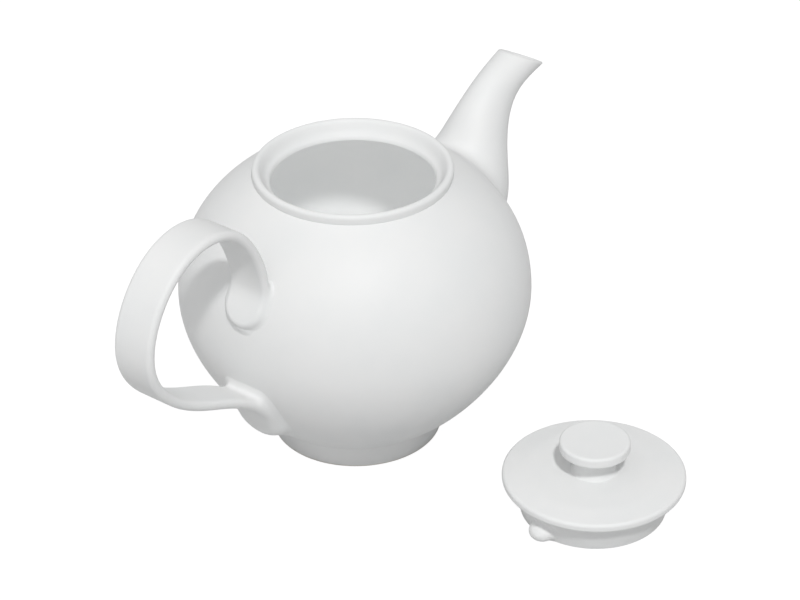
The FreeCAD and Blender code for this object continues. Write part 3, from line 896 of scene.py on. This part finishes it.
def porcelain(name, shift, bare_below=None):
    """White satin glaze: faint clouding, a soft skin of fine ripples, and its own roughness.

    The glaze can stop near the ground and leave a bare, grainy foot.
    """
    material = bpy.data.materials.new(name)
    material.use_nodes = True
    nodes, links = material.node_tree.nodes, material.node_tree.links
    shader = nodes["Principled BSDF"]
    shader.inputs["IOR"].default_value = GLAZE_IOR
    shader.inputs["Coat Weight"].default_value = COAT_WEIGHT
    shader.inputs["Coat Roughness"].default_value = COAT_ROUGHNESS
    shader.inputs["Specular IOR Level"].default_value = SPECULAR_LEVEL

    place = nodes.new("ShaderNodeTexCoord")
    moved = nodes.new("ShaderNodeMapping")
    moved.inputs["Location"].default_value = (shift, -shift / 2, shift / 3)
    links.new(place.outputs["Object"], moved.inputs["Vector"])

    def noise(scale, detail, roughness):
        made = nodes.new("ShaderNodeTexNoise")
        made.inputs["Scale"].default_value = scale
        made.inputs["Detail"].default_value = detail
        made.inputs["Roughness"].default_value = roughness
        links.new(moved.outputs["Vector"], made.inputs["Vector"])
        return made.outputs["Fac"]

    def fit(source, low, high):
        made = nodes.new("ShaderNodeMapRange")
        set_range(made, *NOISE_SPAN, low, high)
        links.new(source, made.inputs["Value"])
        return made.outputs["Result"]

    def blend(share, low, high):
        made = nodes.new("ShaderNodeMix")
        made.data_type = "RGBA"
        for socket, colour in ((made.inputs["A"], low), (made.inputs["B"], high)):
            if isinstance(colour, tuple):
                socket.default_value = colour
            else:
                links.new(colour, socket)
        links.new(share, made.inputs["Factor"])
        return made.outputs["Result"]

    clouds = fit(noise(*CLOUD_NOISE), 0, 1)
    colour = blend(clouds, GLAZE, GLAZE_DEEP)
    gloss = fit(noise(*GLOSS_NOISE), GLOSS_LOW, GLOSS_HIGH)
    ripple = noise(*RIPPLE_NOISE)
    if bare_below is not None:
        split = nodes.new("ShaderNodeSeparateXYZ")
        links.new(place.outputs["Object"], split.inputs["Vector"])
        edge = nodes.new("ShaderNodeMapRange")
        edge.interpolation_type = "SMOOTHSTEP"
        set_range(edge, bare_below * MM * BARE_EDGE[0], bare_below * MM * BARE_EDGE[1], 1, 0)
        links.new(split.outputs["Z"], edge.inputs["Value"])
        bare = edge.outputs["Result"]
        grain = fit(noise(*GRAIN_NOISE), 0, 1)
        body = blend(grain, BISQUE, BISQUE_DARK)
        colour = blend(bare, colour, body)
        rough = nodes.new("ShaderNodeMix")
        rough.inputs["B"].default_value = BARE_ROUGHNESS
        links.new(gloss, rough.inputs["A"])
        links.new(bare, rough.inputs["Factor"])
        gloss = rough.outputs["Result"]
    links.new(colour, shader.inputs["Base Color"])
    links.new(gloss, shader.inputs["Roughness"])
    bump = nodes.new("ShaderNodeBump")
    bump.inputs["Strength"].default_value = RIPPLE_STRENGTH
    bump.inputs["Distance"].default_value = RIPPLE_DEPTH
    links.new(ripple, bump.inputs["Height"])
    links.new(bump.outputs["Normal"], shader.inputs["Normal"])
    return material


# maker, body, slot, where in the noise the piece lies, and how high its bare foot goes
PIECES = (
    (make_pot, "pot", "pot_glaze", 0.0, BARE_FOOT),
    (make_spout, "pot", "spout_glaze", 0.31, None),
    (make_handle, "pot", "handle_glaze", 0.57, None),
    (make_lid, "lid", "lid_glaze", 0.83, SKIRT_EDGE / 2),
    (make_knob, "lid", "knob_glaze", 1.19, None),
    (make_lug, "lid", "lug_glaze", 1.47, None),
)


def make_teapot():
    for make, body, slot, shift, bare in PIECES:
        piece = make()
        piece.data.materials.clear()
        piece.data.materials.append(porcelain(f"{slot}_look", shift, bare))
        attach(piece, body)


# --- floor, light and camera ------------------------------------------------------------

FLOOR_HALF = 6.0
PALE_GREY = 0.1
PALE_GLOW = 0.97
BOUNCE_GREY = 0.6
BOUNCE_DROP = 0.5


def make_plane(name, height, grey, glow):
    corners = [(-1, -1), (1, -1), (1, 1), (-1, 1)]
    points = [(x * FLOOR_HALF / MM, y * FLOOR_HALF / MM, height) for x, y in corners]
    plane = make_object(name, points, [(0, 1, 2, 3)])
    material = bpy.data.materials.new(name)
    material.use_nodes = True
    shader = material.node_tree.nodes["Principled BSDF"]
    shader.inputs["Base Color"].default_value = (grey, grey, grey, 1)
    shader.inputs["Roughness"].default_value = 1.0
    shader.inputs["Specular IOR Level"].default_value = 0.0
    shader.inputs["Emission Color"].default_value = (1, 1, 1, 1)
    shader.inputs["Emission Strength"].default_value = glow
    plane.data.materials.append(material)
    return plane


def make_floor():
    """A white floor for the eye, and a grey one under it that throws the light back."""
    seen = make_plane("pale_floor", 0, PALE_GREY, PALE_GLOW)
    seen.visible_diffuse = False
    seen.visible_glossy = False
    seen.visible_shadow = False
    bounce = make_plane("bounce_floor", -BOUNCE_DROP, BOUNCE_GREY, 0)
    bounce.visible_camera = False


KEY_STRENGTH = 1.6
KEY_ANGLE = math.radians(5)
SIDE_STRENGTH = 0.45
SIDE_ANGLE = math.radians(100)
# where each sun stands, in degrees from straight up: towards the camera, and to the right
KEY_FROM = (36, 5)
SIDE_FROM = (35, -60)
FILL_STRENGTH = 0.49
INNER_STRENGTH = 0.037
INNER_RADIUS = 0.02
INNER_HEIGHT = 0.06
# from the picture's axes to the pot's, about the vertical
PLANE_TURN = math.radians(-50.5)


def turned(vector):
    """From the axes of the picture, with the camera on -Y, to the axes of the pot."""
    return Matrix.Rotation(PLANE_TURN, 3, "Z") @ Vector(vector)


def make_sun(name, strength, angle, near, across):
    """A sun that many degrees from straight up, towards the camera and to the right."""
    sun = bpy.data.lights.new(name, "SUN")
    sun.energy = strength
    sun.angle = angle
    holder = bpy.data.objects.new(name, sun)
    near, across = math.radians(near), math.radians(across)
    towards = turned((math.sin(across), -math.sin(near), math.cos(near)))
    holder.rotation_mode = "QUATERNION"
    holder.rotation_quaternion = towards.to_track_quat("Z", "Y")
    bpy.context.scene.collection.objects.link(holder)


def make_lights():
    make_sun("key", KEY_STRENGTH, KEY_ANGLE, *KEY_FROM)
    make_sun("side_fill", SIDE_STRENGTH, SIDE_ANGLE, *SIDE_FROM)
    inner = bpy.data.lights.new("inner_fill", "POINT")
    inner.energy = INNER_STRENGTH
    inner.shadow_soft_size = INNER_RADIUS
    inner_holder = bpy.data.objects.new("inner_fill", inner)
    inner_holder.location = (0, 0, INNER_HEIGHT)
    inner_holder.visible_camera = False
    bpy.context.scene.collection.objects.link(inner_holder)
    world = bpy.data.worlds.new("studio")
    world.use_nodes = True
    sky = world.node_tree.nodes["Background"]
    sky.inputs["Color"].default_value = (1, 1, 1, 1)
    sky.inputs["Strength"].default_value = FILL_STRENGTH
    bpy.context.scene.world = world


LENS = 135
SENSOR_WIDTH = 36
CAMERA_PLACE = Vector((-0.8810, -0.7262, 0.7843))
CAMERA_PITCH = math.radians(32.235)
CAMERA_YAW = math.radians(1.012)
CAMERA_ROLL = math.radians(-0.492)


def make_camera():
    camera = bpy.data.cameras.new("camera")
    camera.lens = LENS
    camera.sensor_width = SENSOR_WIDTH
    holder = bpy.data.objects.new("camera", camera)
    forward = Vector((math.sin(CAMERA_YAW) * math.cos(CAMERA_PITCH),
                      math.cos(CAMERA_YAW) * math.cos(CAMERA_PITCH), -math.sin(CAMERA_PITCH)))
    right = Vector((math.cos(CAMERA_YAW), -math.sin(CAMERA_YAW), 0))
    up = right.cross(forward)
    tipped_right = right * math.cos(CAMERA_ROLL) + up * math.sin(CAMERA_ROLL)
    tipped_up = up * math.cos(CAMERA_ROLL) - right * math.sin(CAMERA_ROLL)
    axes = [turned(v) for v in (tipped_right, tipped_up, -forward)]
    turn = Matrix(axes).transposed()
    holder.rotation_mode = "QUATERNION"
    holder.rotation_quaternion = turn.to_quaternion()
    holder.location = CAMERA_PLACE
    bpy.context.scene.collection.objects.link(holder)
    bpy.context.scene.camera = holder
    bpy.context.scene.view_settings.view_transform = "Standard"


make_camera()
make_lights()
make_floor()
make_teapot()
